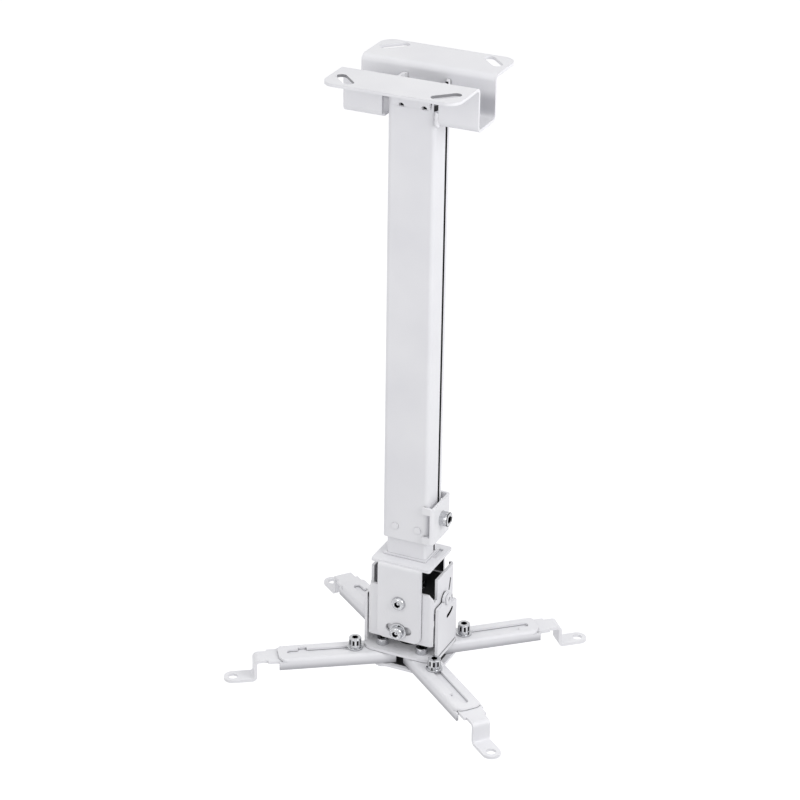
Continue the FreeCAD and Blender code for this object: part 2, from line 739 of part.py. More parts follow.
def make_head_fasteners():
    clamped = "yoke_sheet + head_clearance + box_sheet"
    stack = "washer_height + spring_height"
    pivots, pivot_nuts, locks, washers, lock_nuts = [], [], [], [], []
    for way, side in ((FRONT, -1), (BACK, 1)):
        name = "front" if side < 0 else "back"
        face = "%d * (%s)" % (side, YOKE_OUT)
        inside = "%d * (%s - nut_height)" % (side, BOX_IN)
        z = "-gimbal_drop - roll_lock_radius"
        screw = cap_screw(name + "_roll_pivot_screw", "button_head", "button_height", "button_socket",
                          "screw_thread", clamped + " + nut_height + screw_end")
        stand(screw, way, "0", face, "-gimbal_drop")
        pivots.append(screw)
        fixed = nut(name + "_roll_pivot_nut", "nut_width", "nut_height", "screw_thread")
        stand(fixed, way, "0", inside, "-gimbal_drop")
        pivot_nuts.append(fixed)
        screw = cap_screw(name + "_roll_lock_screw", "button_head", "button_height", "button_socket",
                          "screw_thread", "%s + %s + face_gap + nut_height + screw_end" % (clamped, stack))
        stand(screw, way, "0", "%s + %d * (%s + face_gap)" % (face, side, stack), z)
        locks.append(screw)
        flat = washer(name + "_roll_flat_washer", "screw_washer", "washer_height", "screw_thread")
        stand(flat, way, "0", "%s + %d * face_gap" % (face, side), z)
        spring = washer(name + "_roll_spring_washer", "spring_washer", "spring_height", "screw_thread")
        stand(spring, way, "0", "%s + %d * (face_gap + washer_height)" % (face, side), z)
        washers.extend([flat, spring])
        fixed = nut(name + "_roll_lock_nut", "nut_width", "nut_height", "screw_thread")
        stand(fixed, way, "0", inside, z)
        lock_nuts.append(fixed)
    group("roll_pivot_screws", pivots)
    group("roll_pivot_nuts", pivot_nuts)
    group("roll_lock_screws", locks)
    group("roll_lock_washers", washers)
    group("roll_lock_nuts", lock_nuts)
    inner = "-(ear_sheet + ear_clearance + box_sheet)"
    rivets = []
    for way, side in ((LEFT, -1), (RIGHT, 1)):
        blank = doc.addObject("Part::MultiFuse", "Rivet")
        blank.Shapes = [
            cylinder("rivet_head / 2", "face_gap", "rivet_height"),
            cylinder("screw_thread / 2", inner + " - 0.001", "face_gap + 0.001"),
            cylinder("rivet_head / 2", inner + " - rivet_height", inner)]
        rivet = cut(blank, cylinder("rivet_dent / 2", inner + " / 2", "rivet_height + 1"), "pitch_rivet")
        stand(rivet, way, "%d * %s" % (side, EAR_OUT), "0", "-gimbal_drop")
        rivets.append(rivet)
    group("pitch_pivot_rivets", rivets)


def make_arm_pivots():
    screws, nuts = [], []
    stack = "(2 * hub_sheet + 2 * plate_gap + arm_height)"
    for side, depth in ((-1, -1), (1, -1), (1, 1), (-1, 1)):
        x, y = "%d * pivot_side" % side, "%d * pivot_depth" % depth
        count = len(screws) + 1
        screw = cap_screw("arm_pivot_screw_%d" % count, "arm_pivot_head", "arm_pivot_height", "lock_socket",
                          "screw_thread", stack + " + arm_pivot_nut_height + face_gap")
        stand(screw, UP, x, y, "-gimbal_drop - hub_fall")
        screws.append(screw)
        fixed = nut("arm_pivot_nut_%d" % count, "nut_width", "arm_pivot_nut_height", "screw_thread")
        stand(fixed, UP, x, y, "-gimbal_drop - hub_fall - %s - arm_pivot_nut_height" % stack)
        nuts.append(fixed)
    group("arm_pivot_screws", screws)
    group("arm_pivot_nuts", nuts)


# Arms: a slotted channel on its pivot and a cranked foot that slides in it

def turn(thing, side, depth, angle):
    """Put a piece drawn along +X from the arm's pivot in its place."""
    thing.Placement = Placement(Vector(), Rotation(Z_AXIS, 1))
    bind(thing, "Placement.Base.x", "%d * pivot_side" % side)
    bind(thing, "Placement.Base.y", "%d * pivot_depth" % depth)
    bind(thing, "Placement.Base.z", ARM_TOP)
    bind(thing, "Placement.Rotation.Angle", angle)


def make_arm(label):
    body = new_body(label)
    half, end = "(arm_width / 2)", "arm_length"
    inner = "(arm_width / 2 - arm_sheet)"
    section = new_sketch(body, "YZ", "-arm_tail")
    outline(section, [
        ("-" + half, "0"), (half, "0"), (half, "-arm_height"), (inner, "-arm_height"), (inner, "-arm_sheet"),
        ("-" + inner, "-arm_sheet"), ("-" + inner, "-arm_height"), ("-" + half, "-arm_height")])
    pad(body, section, end + " + arm_tail")
    fillet(body, "arm_edge", along("x", at(half, True), at("0")))
    corners = new_sketch(body, "XY", "1")
    for side in (-1, 1):
        bow = ["(1 - %s(%sdeg)) * arm_end_corner" % (kind, angle)
               for angle in ("22.5", "45", "67.5") for kind in ("sin", "cos")]
        edge = "%d * (%s - (%s))"
        points = [(end + " - arm_end_corner", edge % (side, half, "0"))]
        points += [(end + " - " + bow[i], edge % (side, half, bow[i + 1])) for i in (0, 2, 4)]
        inside, outside = edge % (side, half, "arm_end_corner"), edge % (side, half, "-1")
        points += [(end, inside), (end + " + 1", inside), (end + " + 1", outside),
                   (end + " - arm_end_corner", outside)]
        outline(corners, points)
    pocket(body, corners, "arm_edge + 1")
    slot = new_sketch(body, "XY", "1")
    straight_slot(slot, "lock_at", "0", "arm_length - arm_slot_back", "0", "lock_thread / 2 + hole_clearance")
    circle(slot, "0", "0", RUN_HOLE)
    pocket(body, slot, "arm_sheet + 2")
    notch = new_sketch(body, "XY", "1")
    rectangle(notch, "arm_length - arm_notch_back", "0", "arm_length - arm_notch_back + arm_notch_length",
              "-arm_notch_width")
    pocket(body, notch, "arm_sheet + 2")
    return body


def make_slider(label):
    body = new_body(label)
    crank = new_sketch(body, "XZ")
    start, end = "lock_at - slider_inset", FOOT_START
    leg, leg_in = FOOT_LEG, "(%s - slider_sheet)" % FOOT_LEG
    foot, sole = "-foot_drop", "-foot_drop - slider_sheet"
    outline(crank, [
        (start, SLIDER_TOP), (leg, SLIDER_TOP), (leg, foot), (end, foot), (end, sole), (leg_in, sole),
        (leg_in, SLIDER_LOW), (start, SLIDER_LOW)])
    pad(body, crank, "2 * " + SLIDER_Y, symmetric=True)
    fillet(body, "slider_bend + slider_sheet", along("y", at(leg), at(SLIDER_TOP)))
    fillet(body, "slider_bend + slider_sheet", along("y", at(leg_in), at(sole)))
    fillet(body, "slider_bend", along("y", at(leg_in), at(SLIDER_LOW)))
    fillet(body, "slider_bend", along("y", at(leg), at(foot)))
    sides = new_sketch(body, "XY")
    for side in (-1, 1):
        rectangle(sides, "arm_length + slider_shoulder", "%d * foot_width / 2" % side, end + " + 1",
                  "%d * (%s + 1)" % (side, SLIDER_Y))
    pocket(body, sides)
    hole = new_sketch(body, "XY")
    circle(hole, "lock_at", "0", "lock_thread / 2 + hole_clearance")
    pocket(body, hole)
    return body


def make_foot(label):
    """The flat end of the slider's strip, kept as a node of its own because it carries the screw hole."""
    body = new_body(label)
    tab = new_sketch(body, "XY", "-foot_drop")
    rectangle(tab, FOOT_START, "-foot_width / 2", FOOT_END, "foot_width / 2")
    circle(tab, "foot_reach", "0", "foot_hole / 2")
    pad(body, tab, "slider_sheet", reverse=True)
    fillet(body, "foot_width / 2 - 0.05", along("z", at(FOOT_END), at("foot_width / 2", True)))
    return body


def make_arms():
    for name, side, depth, angle in (
            ("front_left", -1, -1, "180 + front_left_angle"),
            ("front_right", 1, -1, "360 - front_right_angle"),
            ("rear_right", 1, 1, "rear_right_angle"),
            ("rear_left", -1, 1, "180 - rear_left_angle")):
        turn(make_arm(name + "_arm"), side, depth, angle)
        turn(make_slider(name + "_slider"), side, depth, angle)
        turn(make_foot(name + "_foot_tab"), side, depth, angle)
        stack = "face_gap + washer_height + spring_height"
        screw = cap_screw(name + "_lock_screw", "lock_head", "lock_head_height", "lock_socket", "lock_thread",
                          "%s - (%s) + lock_nut_height" % (stack, SLIDER_LOW))
        flat = washer(name + "_flat_washer", "lock_washer", "washer_height", "lock_thread")
        spring = washer(name + "_spring_washer", "lock_spring", "spring_height", "lock_thread")
        fixed = nut(name + "_lock_nut", "lock_nut_width", "lock_nut_height", "lock_thread")
        heights = ((screw, stack), (flat, "face_gap"), (spring, "face_gap + washer_height"),
                   (fixed, SLIDER_LOW + " - lock_nut_height"))
        for piece, z in heights:
            piece.Placement = Placement(Vector(), Rotation(Z_AXIS, 1))
            along_x = "%d * pivot_side + lock_at * cos((%s) * 1deg)" % (side, angle)
            along_y = "%d * pivot_depth + lock_at * sin((%s) * 1deg)" % (depth, angle)
            bind(piece, "Placement.Base.x", along_x)
            bind(piece, "Placement.Base.y", along_y)
            bind(piece, "Placement.Base.z", "%s + %s" % (ARM_TOP, z))
            bind(piece, "Placement.Rotation.Angle", angle)
        single(screw)
        single(fixed)
        group(name + "_lock_washers", [flat, spring])


make_ceiling_bracket()
make_outer_tube()
make_tube_clamp()
make_inner_tube()
make_upper_tilt_bracket()
make_tilt_box()
make_head_fasteners()
make_hub()
make_arm_pivots()
make_arms()
doc.recompute()

# Every object is up to date and every node is a sound shape before anything is written

for thing in doc.Objects:
    if "Invalid" in thing.State or "Error" in thing.State:
        raise RuntimeError("%s did not build: %s" % (thing.Label, thing.State))
    if thing.TypeId == "Sketcher::SketchObject" and thing.solve() != 0:
        raise RuntimeError("a sketch of %s is not solved" % thing.getParentGeoFeatureGroup().Label)
os.makedirs("parts", exist_ok=True)
for node in NODES:
    shape = node.Shape
    if shape.isNull() or not shape.isValid() or not shape.Solids or shape.Volume <= 0:
        raise RuntimeError("%s has no sound shape" % node.Label)
    if node.TypeId != "Part::Compound" and len(shape.Solids) != 1:
        raise RuntimeError("%s is in %d pieces" % (node.Label, len(shape.Solids)))
    shape.exportStep("parts/%s.step" % node.Label)
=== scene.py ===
import bpy
import json
import math
from mathutils import Matrix, Vector


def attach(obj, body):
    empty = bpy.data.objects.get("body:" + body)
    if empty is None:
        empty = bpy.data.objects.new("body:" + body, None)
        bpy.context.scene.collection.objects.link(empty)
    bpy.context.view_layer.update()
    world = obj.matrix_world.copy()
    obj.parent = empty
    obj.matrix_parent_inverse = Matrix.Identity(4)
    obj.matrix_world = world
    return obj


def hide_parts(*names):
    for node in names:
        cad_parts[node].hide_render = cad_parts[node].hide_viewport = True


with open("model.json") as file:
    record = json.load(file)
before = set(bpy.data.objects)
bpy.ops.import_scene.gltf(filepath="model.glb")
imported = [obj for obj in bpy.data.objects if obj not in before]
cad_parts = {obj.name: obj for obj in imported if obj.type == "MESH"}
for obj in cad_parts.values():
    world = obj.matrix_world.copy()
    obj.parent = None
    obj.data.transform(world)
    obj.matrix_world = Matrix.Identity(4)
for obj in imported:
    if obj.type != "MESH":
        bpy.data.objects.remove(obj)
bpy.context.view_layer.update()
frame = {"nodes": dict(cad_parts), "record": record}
nodes = frame["nodes"]
bpy.ops.object.select_all(action="DESELECT")

# Sizes and places in millimetres, as in the CAD

MM = 0.001
TINY = 1e-6  # metres, for comparing places
# each arm's corner of the hub, and its direction in degrees
ARMS = {"front_left": (-1, -1, 213.6), "front_right": (1, -1, -39.3),
        "rear_right": (1, 1, 41.3), "rear_left": (-1, 1, 142.4)}
PIVOT_SIDE, PIVOT_DEPTH, LOCK_AT = 14.7, 13.2, 19.0
GIMBAL, ROLL_LOCK_Z = -371.4, -393.0
YOKE_FACE, BOX_FACE = 19.8, 15.5
HUB_TOP, HUB_NUT_FOOT = -409.8, -425.8
ARM_TOP, ARM_NUT_FOOT = -412.0, -419.7
CLAMP_HEAD_X, CLAMP_NUT_X, CLAMP_Z = 21.6, 17, -310.5
FACE_GAP, FLAT_WASHER, SPRING_WASHER = 0.1, 1.2, 1.5
WASHER_STACK = FACE_GAP + FLAT_WASHER + SPRING_WASHER
NUT_PLAY, WASHER_PLAY = 0.06, 0.2

CLAMP_SCREW = {"head": 10, "height": 5.6, "socket": 5, "thread": 6, "length": 7.2, "pitch": 1.0}
PIVOT_SCREW = {"head": 9.6, "height": 3, "socket": 4, "thread": 6, "length": 10.3, "pitch": 1.0}
ROLL_SCREW = dict(PIVOT_SCREW, length=13.1)
ARM_SCREW = {"head": 8.5, "height": 5.4, "socket": 4, "thread": 5, "length": 10.4, "pitch": 0.8}
HUB_SCREW = {"head": 8.2, "height": 4.5, "socket": 4, "thread": 6, "length": 16.1, "pitch": 1.0}
HEAD_NUT = {"width": 10, "height": 5, "thread": 6}
HUB_NUT = {"width": 10, "height": 3.6, "thread": 6}
CLAMP_NUT = {"width": 10, "height": 2.8, "thread": 6}
ARM_NUT = {"width": 8, "height": 3.9, "thread": 5}
ROLL_WASHERS = {"flat": 12, "spring": 10, "thread": 6}
ARM_WASHERS = {"flat": 11, "spring": 9, "thread": 5}


# Small helpers

def linear(text):
    """sRGB hex text as linear colour."""
    levels = [int(text[i:i + 2], 16) / 255 for i in (1, 3, 5)]
    return tuple(v / 12.92 if v <= 0.04045 else ((v + 0.055) / 1.055) ** 2.4 for v in levels) + (1.0,)


def add_node(tree, kind, settings=(), inputs=(), links=()):
    """A shader node with its settings, its constant inputs and the sockets that feed it."""
    node = tree.nodes.new(kind)
    for name, setting in dict(settings).items():
        setattr(node, name, setting)
    for name, number in dict(inputs).items():
        node.inputs[name].default_value = number
    for name, socket in dict(links).items():
        tree.links.new(socket, node.inputs[name])
    return node


def only(piece):
    """Select one piece and make it the active one."""
    bpy.ops.object.select_all(action="DESELECT")
    piece.select_set(True)
    bpy.context.view_layer.objects.active = piece


def pick(piece, kind, test):
    """Select the faces, edges or points of a piece that the test takes, and stay in edit mode."""
    bpy.ops.object.mode_set(mode="EDIT")
    bpy.ops.mesh.select_mode(type=kind)
    bpy.ops.mesh.select_all(action="DESELECT")
    bpy.ops.object.mode_set(mode="OBJECT")
    mesh = piece.data
    parts = {"FACE": mesh.polygons, "EDGE": mesh.edges, "VERT": mesh.vertices}[kind]
    for part in parts:
        part.select = bool(test(part))
    bpy.ops.object.mode_set(mode="EDIT")


def edge_heights(piece, edge):
    return [piece.data.vertices[i].co.z for i in edge.vertices]


def at_height(piece, height):
    """A test for the edges that lie at a height in metres."""
    return lambda edge: all(abs(z - height) < TINY for z in edge_heights(piece, edge))


def lies_level(piece):
    """A test for the edges that lie level."""
    return lambda edge: max(edge_heights(piece, edge)) - min(edge_heights(piece, edge)) < TINY


def from_axis(point):
    """A point's distance from the Z axis."""
    return math.hypot(point.x, point.y)


def bevel_edges(piece, test, offset, segments):
    """Round or chamfer the edges that the test takes, by an offset in millimetres."""
    pick(piece, "EDGE", test)
    bpy.ops.mesh.bevel(offset=offset * MM, segments=segments, affect="EDGES")
    bpy.ops.object.mode_set(mode="OBJECT")


def outward(piece):
    """Merge doubles and turn all faces outwards."""
    only(piece)
    bpy.ops.object.mode_set(mode="EDIT")
    bpy.ops.mesh.select_all(action="SELECT")
    bpy.ops.mesh.remove_doubles(threshold=TINY)
    bpy.ops.mesh.normals_make_consistent(inside=False)
    bpy.ops.object.mode_set(mode="OBJECT")


def close_ends(piece):
    """Fill the open ends of a swept piece."""
    only(piece)
    bpy.ops.object.mode_set(mode="EDIT")
    bpy.ops.mesh.select_mode(type="EDGE")
    bpy.ops.mesh.select_all(action="SELECT")
    bpy.ops.mesh.fill_holes(sides=8)
    bpy.ops.object.mode_set(mode="OBJECT")


def cut_with(piece, tool, operation="DIFFERENCE"):
    """Cut a piece with a tool, or keep what both share, and remove the tool."""
    only(piece)
    cutter = piece.modifiers.new("cut", "BOOLEAN")
    cutter.operation = operation
    cutter.solver = "EXACT"
    cutter.object = tool
    bpy.ops.object.modifier_apply(modifier=cutter.name)
    bpy.data.objects.remove(tool)


def blank_rod(sides, radius, height):
    """A round or six-sided blank that stands on the origin, to be worked into a piece."""
    bpy.ops.object.select_all(action="DESELECT")
    bpy.ops.mesh.primitive_cylinder_add(vertices=sides, radius=radius * MM, depth=height * MM,
                                        location=(0, 0, height / 2 * MM))
    bpy.ops.object.transform_apply(location=True, rotation=True, scale=True)
    return bpy.context.object


def drill(piece, sides, radius, depth, middle=0.0):
    """Cut a straight hole along the Z axis with a tool of this depth, centred on a height."""
    bpy.ops.object.select_all(action="DESELECT")
    bpy.ops.mesh.primitive_cylinder_add(vertices=sides, radius=radius * MM, depth=depth * MM,
                                        location=(0, 0, middle * MM))
    cut_with(piece, bpy.context.object)


def join(pieces, name):
    """Join pieces into the first one and name it."""
    bpy.ops.object.select_all(action="DESELECT")
    for piece in pieces:
        piece.select_set(True)
    bpy.context.view_layer.objects.active = pieces[0]
    if len(pieces) > 1:
        bpy.ops.object.join()
    whole = bpy.context.object
    whole.name = name
    return whole


def smooth(piece, degrees=32):
    """Shade a piece smooth, apart from the edges sharper than an angle."""
    only(piece)
    bpy.ops.object.shade_smooth_by_angle(angle=math.radians(degrees))


QUARTER = math.pi / 2
WAYS = {"up": Matrix(),
        "front": Matrix.Rotation(QUARTER, 4, "X"), "back": Matrix.Rotation(-QUARTER, 4, "X"),
        "right": Matrix.Rotation(QUARTER, 4, "Y")}


def copy_to(pattern, way, place, turn=0.0):
    """A copy with its own mesh, stood at a place in millimetres, its place kept in the mesh."""
    only(pattern)
    bpy.ops.object.duplicate(linked=False)
    copy = bpy.context.object
    spin = Matrix.Rotation(math.radians(turn), 4, "Z")
    copy.matrix_world = Matrix.Translation(Vector(place) * MM) @ WAYS[way] @ spin
    bpy.context.view_layer.update()
    bpy.ops.object.transform_apply(location=True, rotation=True, scale=True)
    return copy


def front_and_back(pattern, face, z, turns=(0.0, 0.0)):
    """Two copies that look to the front and to the back, each at a face's distance from the axis."""
    return [copy_to(pattern, "front", (0, -face, z), turns[0]),
            copy_to(pattern, "back", (0, face, z), turns[1])]


def dress(pieces, name, body, node):
    """Join finished copies into one piece that stands for a CAD node."""
    whole = join(pieces, name)
    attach(whole, body)
    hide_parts(node)


# Materials

MIX_LOW, MIX_HIGH, MIX_COLOUR = 6, 7, 2  # the colour sockets of a Mix node, which share their names


def new_material(name):
    """A material, its node tree, its shader, and the place on the object that its patterns follow."""
    material = bpy.data.materials.new(name)
    material.use_nodes = True
    tree = material.node_tree
    place = add_node(tree, "ShaderNodeTexCoord").outputs["Object"]
    return material, tree, tree.nodes["Principled BSDF"], place


def speckle(tree, place, width, detail):
    """Noise whose spots are about so many millimetres wide."""
    noise = add_node(tree, "ShaderNodeTexNoise", inputs={"Scale": 1 / (width * MM), "Detail": detail},
                     links={"Vector": place})
    return noise.outputs["Fac"]


def spread(tree, share, low, high):
    """The middle range of a noise, stretched from a low to a high value."""
    span = add_node(tree, "ShaderNodeMapRange", links={"Value": share},
                    inputs={"From Min": 0.3, "From Max": 0.7, "To Min": low, "To Max": high})
    return span.outputs["Result"]


def two_tone(tree, share, low_tone, high_tone, low, high):
    """One tone below the low share and another above the high one."""
    ramp = add_node(tree, "ShaderNodeValToRGB", links={"Fac": share})
    for stop, position, tone in zip(ramp.color_ramp.elements, (low, high), (low_tone, high_tone)):
        stop.position = position
        stop.color = linear(tone)
    return ramp.outputs["Color"]


def mix_colours(tree, share, low, high):
    """low where the share is 0 and high where it is 1, each a hex tone or another node's colour."""
    mix = add_node(tree, "ShaderNodeMix", settings={"data_type": "RGBA"}, links={"Factor": share})
    for place, colour in ((MIX_LOW, low), (MIX_HIGH, high)):
        if isinstance(colour, str):
            mix.inputs[place].default_value = linear(colour)
        else:
            tree.links.new(colour, mix.inputs[place])
    return mix.outputs[MIX_COLOUR]


# painted shade tones: deep and light for gaps and tight corners, and one for the arms' lower edges
DEEP_CREVICE_SHADE, LIGHT_CREVICE_SHADE, LOW_EDGE_SHADE = "#2C2C2F", "#8F8F93", "#A6A6AB"


def white_powder_coat(name, shade_boxes=None, soft_edges=True, crevice_shade_tone=DEEP_CREVICE_SHADE, shade_below=None):
    """White epoxy powder on folded steel, baked: a satin skin with a faint orange peel.

    The boxes listed for a coat get painted shade inside them, round hollows and narrow slots where shade
    falls, and every gap narrower than about 2 mm gets painted shade too. Two heights in millimetres, if
    given, darken the coat with painted shade from the upper one to the lower one."""
    material, tree, shader, place = new_material(name)
    # slow change of film thickness over about 45 mm
    colour = two_tone(tree, speckle(tree, place, 45, 2.0), "#E2E2E6", "#E9E9EC", 0.3, 0.7)
    # painted shade, darker towards the lower height
    if shade_below:
        upper, lower = shade_below
        height = add_node(tree, "ShaderNodeSeparateXYZ", links={"Vector": place})
        fade = add_node(tree, "ShaderNodeMapRange", settings={"interpolation_type": "SMOOTHSTEP"},
                        inputs={"From Min": lower * MM, "From Max": upper * MM},
                        links={"Value": height.outputs["Z"]})
        colour = mix_colours(tree, fade.outputs["Result"], LOW_EDGE_SHADE, colour)
    # painted shade inside the listed boxes
    if shade_boxes:
        colour = paint_shade_in_boxes(tree, place, colour, shade_boxes)
    # painted shade: gaps and tight corners are darkened where ambient occlusion finds them, which gives each
    # joint between sheets its line
    room = add_node(tree, "ShaderNodeAmbientOcclusion", settings={"samples": 8}, inputs={"Distance": 2 * MM})
    open_share = add_node(tree, "ShaderNodeMapRange", inputs={"From Min": 0.22, "From Max": 0.68},
                      links={"Value": room.outputs["AO"]})
    colour = mix_colours(tree, open_share.outputs["Result"], crevice_shade_tone, colour)
    tree.links.new(colour, shader.inputs["Base Color"])
    # grains of powder that did not melt fully, about 0.7 mm apart, make the gloss uneven
    gloss = spread(tree, speckle(tree, place, 0.7, 3.0), 0.34, 0.48)
    tree.links.new(gloss, shader.inputs["Roughness"])
    # orange peel about 1.6 mm wide, and the powder drawn back to a soft edge of 0.3 mm on every cut edge
    bump = add_node(tree, "ShaderNodeBump", inputs={"Strength": 0.12, "Distance": 0.1 * MM},
                    links={"Height": speckle(tree, place, 1.6, 1.5)})
    if soft_edges:
        edge = add_node(tree, "ShaderNodeBevel", settings={"samples": 4}, inputs={"Radius": 0.3 * MM})
        tree.links.new(edge.outputs["Normal"], bump.inputs["Normal"])
    tree.links.new(bump.outputs["Normal"], shader.inputs["Normal"])
    shader.inputs["IOR"].default_value = 1.5
    return material


def paint_shade_in_boxes(tree, place, colour, boxes):
    """Painted shade: the boxes' own tones inside them, given by their corners in millimetres, and powder
    elsewhere.

    A box with a fade takes its tone slowly, over that many millimetres from its upper and lower end."""
    for low, high, tone, *fade in boxes:
        centre = (Vector(low) + Vector(high)) / 2 * MM
        half = (Vector(high) - Vector(low)) / 2 * MM
        offset = add_node(tree, "ShaderNodeVectorMath", settings={"operation": "SUBTRACT"},
                          inputs={1: centre}, links={0: place})
        size = add_node(tree, "ShaderNodeVectorMath", settings={"operation": "ABSOLUTE"},
                        links={0: offset.outputs["Vector"]})
        over = add_node(tree, "ShaderNodeVectorMath", settings={"operation": "SUBTRACT"},
                        inputs={1: half}, links={0: size.outputs["Vector"]})
        axes = add_node(tree, "ShaderNodeSeparateXYZ", links={"Vector": over.outputs["Vector"]})
        wide = add_node(tree, "ShaderNodeMath", settings={"operation": "MAXIMUM"},
                        links={0: axes.outputs["X"], 1: axes.outputs["Y"]})
        most = add_node(tree, "ShaderNodeMath", settings={"operation": "MAXIMUM"},
                        links={0: wide.outputs[0], 1: axes.outputs["Z"]})
        share = add_node(tree, "ShaderNodeMath", settings={"operation": "LESS_THAN"}, inputs={1: 0.0},
                         links={0: most.outputs[0]}).outputs[0]
        if fade:
            depth = add_node(tree, "ShaderNodeMapRange", settings={"interpolation_type": "SMOOTHSTEP"},
                             inputs={"From Min": 0.0, "From Max": -fade[0] * MM},
                             links={"Value": axes.outputs["Z"]})
            share = add_node(tree, "ShaderNodeMath", settings={"operation": "MULTIPLY"},
                             links={0: share, 1: depth.outputs["Result"]}).outputs[0]
        colour = mix_colours(tree, share, colour, tone)
    return colour


def plated_steel(name, light, dark, rough_low, rough_high):
    """Turned steel with a bright nickel plate: it mirrors its surroundings, with fine uneven gloss."""
    material, tree, shader, place = new_material(name)
    # tumbling marks about 0.6 mm long, drawn coarser than the real ones so that they show
    marks = speckle(tree, place, 0.6, 4.0)
    tree.links.new(two_tone(tree, marks, dark, light, 0.32, 0.68), shader.inputs["Base Color"])
    tree.links.new(spread(tree, marks, rough_low, rough_high), shader.inputs["Roughness"])
    bump = add_node(tree, "ShaderNodeBump", inputs={"Strength": 0.08, "Distance": 0.02 * MM},
                    links={"Height": marks})
    tree.links.new(bump.outputs["Normal"], shader.inputs["Normal"])
    shader.inputs["Metallic"].default_value = 1.0
    return material


POWDER_COAT = white_powder_coat("white_powder_coat")
# painted shade in hollows and narrow slots, where shade falls: low corner, high corner, tone and perhaps a
# fade
DEEP_SHADE_TONE, SLOT_SHADE_TONE, CUT_EDGE_SHADE_TONE = "#1B1B1D", "#8A8A8E", "#B4B4B9"
CHANNEL_SHADE_TONE, SOFT_SHADE_TONE = "#BDBDC2", "#C4C4C8"
PAINTED_SHADE_BOXES = {
    # walls of the two front slots, inside of the channel, cut edge left of the column
    "ceiling_bracket": [((25, -44, -1.9), (42, -27, -0.1), SLOT_SHADE_TONE),
                        ((-42, -44, -1.9), (-25, -27, -0.1), SLOT_SHADE_TONE),
                        ((-47, -12.3, -30), (47, 12.3, -9.5), CHANNEL_SHADE_TONE, 8),
                        ((-19.3, -14.1, -28), (-18.9, -11.9, -8), CUT_EDGE_SHADE_TONE)],
    # bore, seam, and the corner beside the bracket's cut-out, above the weld
    "outer_tube": [((-14.7, -9.9, -328), (14.7, 9.9, -16), DEEP_SHADE_TONE),
                   ((14, 3.5, -328), (16.7, 6.5, -6), DEEP_SHADE_TONE),
                   ((15, -11.45, -17.4), (17, -4, -8), SLOT_SHADE_TONE),
                   ((15, -11.45, -21), (17, -4, -17.4), DEEP_SHADE_TONE)],
    # bore and seam
    "inner_tube": [((-12.85, -8.05, -341), (12.85, 8.05, -40), DEEP_SHADE_TONE),
                   ((12, 3.7, -341), (14.2, 6.3, -44), DEEP_SHADE_TONE)],
    # inside: a light painted shade on the left, a deep painted shade on the right
    "upper_tilt_bracket": [((-40, -17.9, -402), (-10, 17.9, -343.9), SOFT_SHADE_TONE),
                           ((-10, -17.9, -402), (40, 17.9, -343.9), DEEP_SHADE_TONE)],
    # inside in the same way, then the slit and the curved slot of the right wall
    "tilt_box": [((-22.6, -15.6, -402), (-10, 15.6, -345), SOFT_SHADE_TONE),
                 ((-10, -15.6, -402), (22.6, 15.6, -345), DEEP_SHADE_TONE),
                 ((22.4, 7, GIMBAL + 1), (24.4, 12.5, GIMBAL + 12), DEEP_SHADE_TONE),
                 ((22.4, 0, GIMBAL - 16), (24.6, 9.5, GIMBAL - 8), DEEP_SHADE_TONE)],
    # curved slot of the right ear, and the plate's face over the arms
    "hub_bracket": [((25, 0, GIMBAL - 16), (27.2, 9.5, GIMBAL - 8), DEEP_SHADE_TONE),
                    ((-24, -19, -411.9), (24, 19, -411.7), DEEP_SHADE_TONE)],
    # face under the arms
    "hub_base_plate": [((-24, -19, -420.9), (24, 19, -420.1), DEEP_SHADE_TONE)],
}
# a lighter painted shade in the gaps of the upper tilt bracket
CREVICE_SHADE_TONES = {"upper_tilt_bracket": LIGHT_CREVICE_SHADE}
COATS_WITH_PAINTED_SHADE = {node: white_powder_coat("white_powder_coat_bare_in_" + node, boxes,
                                        crevice_shade_tone=CREVICE_SHADE_TONES.get(node, DEEP_CREVICE_SHADE))
                for node, boxes in PAINTED_SHADE_BOXES.items()}
# painted shade: the arms' side walls grow darker towards their lower edge, and their gaps take the lighter
# painted shade
ARM_COAT = white_powder_coat("white_powder_coat_on_arms", crevice_shade_tone=LIGHT_CREVICE_SHADE,
                             shade_below=(ARM_TOP - 2.5, ARM_TOP - 8.5))
# the foot and its strip are one bent piece, so the line where the two nodes meet stays flat; gaps take the
# lighter painted shade
FOLD_COAT = white_powder_coat("white_powder_coat_on_folds", soft_edges=False, crevice_shade_tone=LIGHT_CREVICE_SHADE)
NICKEL = plated_steel("nickel_plated_steel", "#DEDFE1", "#A2A3A7", 0.04, 0.11)
# painted shade for screw sockets, and painted dark reflections for knurl roots and a head's rim
DARK_PAINTED_STEEL = plated_steel("painted_shade_and_reflection_steel", "#242426", "#161617", 0.3, 0.45)
BRIGHT, DARK = 0, 1  # places of these two on a screw


def coat_sheet_metal():
    """Give every CAD node its coat."""
    plated = [part["node"] for part in frame["record"]["subparts"] if part["material_slot"] == "plated_steel"]
    for name, piece in nodes.items():
        coat = COATS_WITH_PAINTED_SHADE.get(name, POWDER_COAT)
        if name.endswith("_arm"):
            coat = ARM_COAT
        if name.endswith(("_slider", "_foot_tab")):
            coat = FOLD_COAT
        piece.data.materials.clear()
        piece.data.materials.append(NICKEL if name in plated else coat)


# Fasteners: widths are shares of the head's radius, heights shares of its height

KNURL_LOW, KNURL_HIGH = 0.1, 0.78
COARSE_ROOT, FINE_ROOT, DARK_ROOT_WITHIN = 0.93, 0.985, 0.975
RIM_WITHIN, RIM_ABOVE = 0.78, 0.9
CAP_ROUND, BUTTON_ROUND = 0.07, 0.72
CAP_SOCKET, BUTTON_SOCKET = 0.6, 0.5
SPLIT_RING_DEGREES = 346


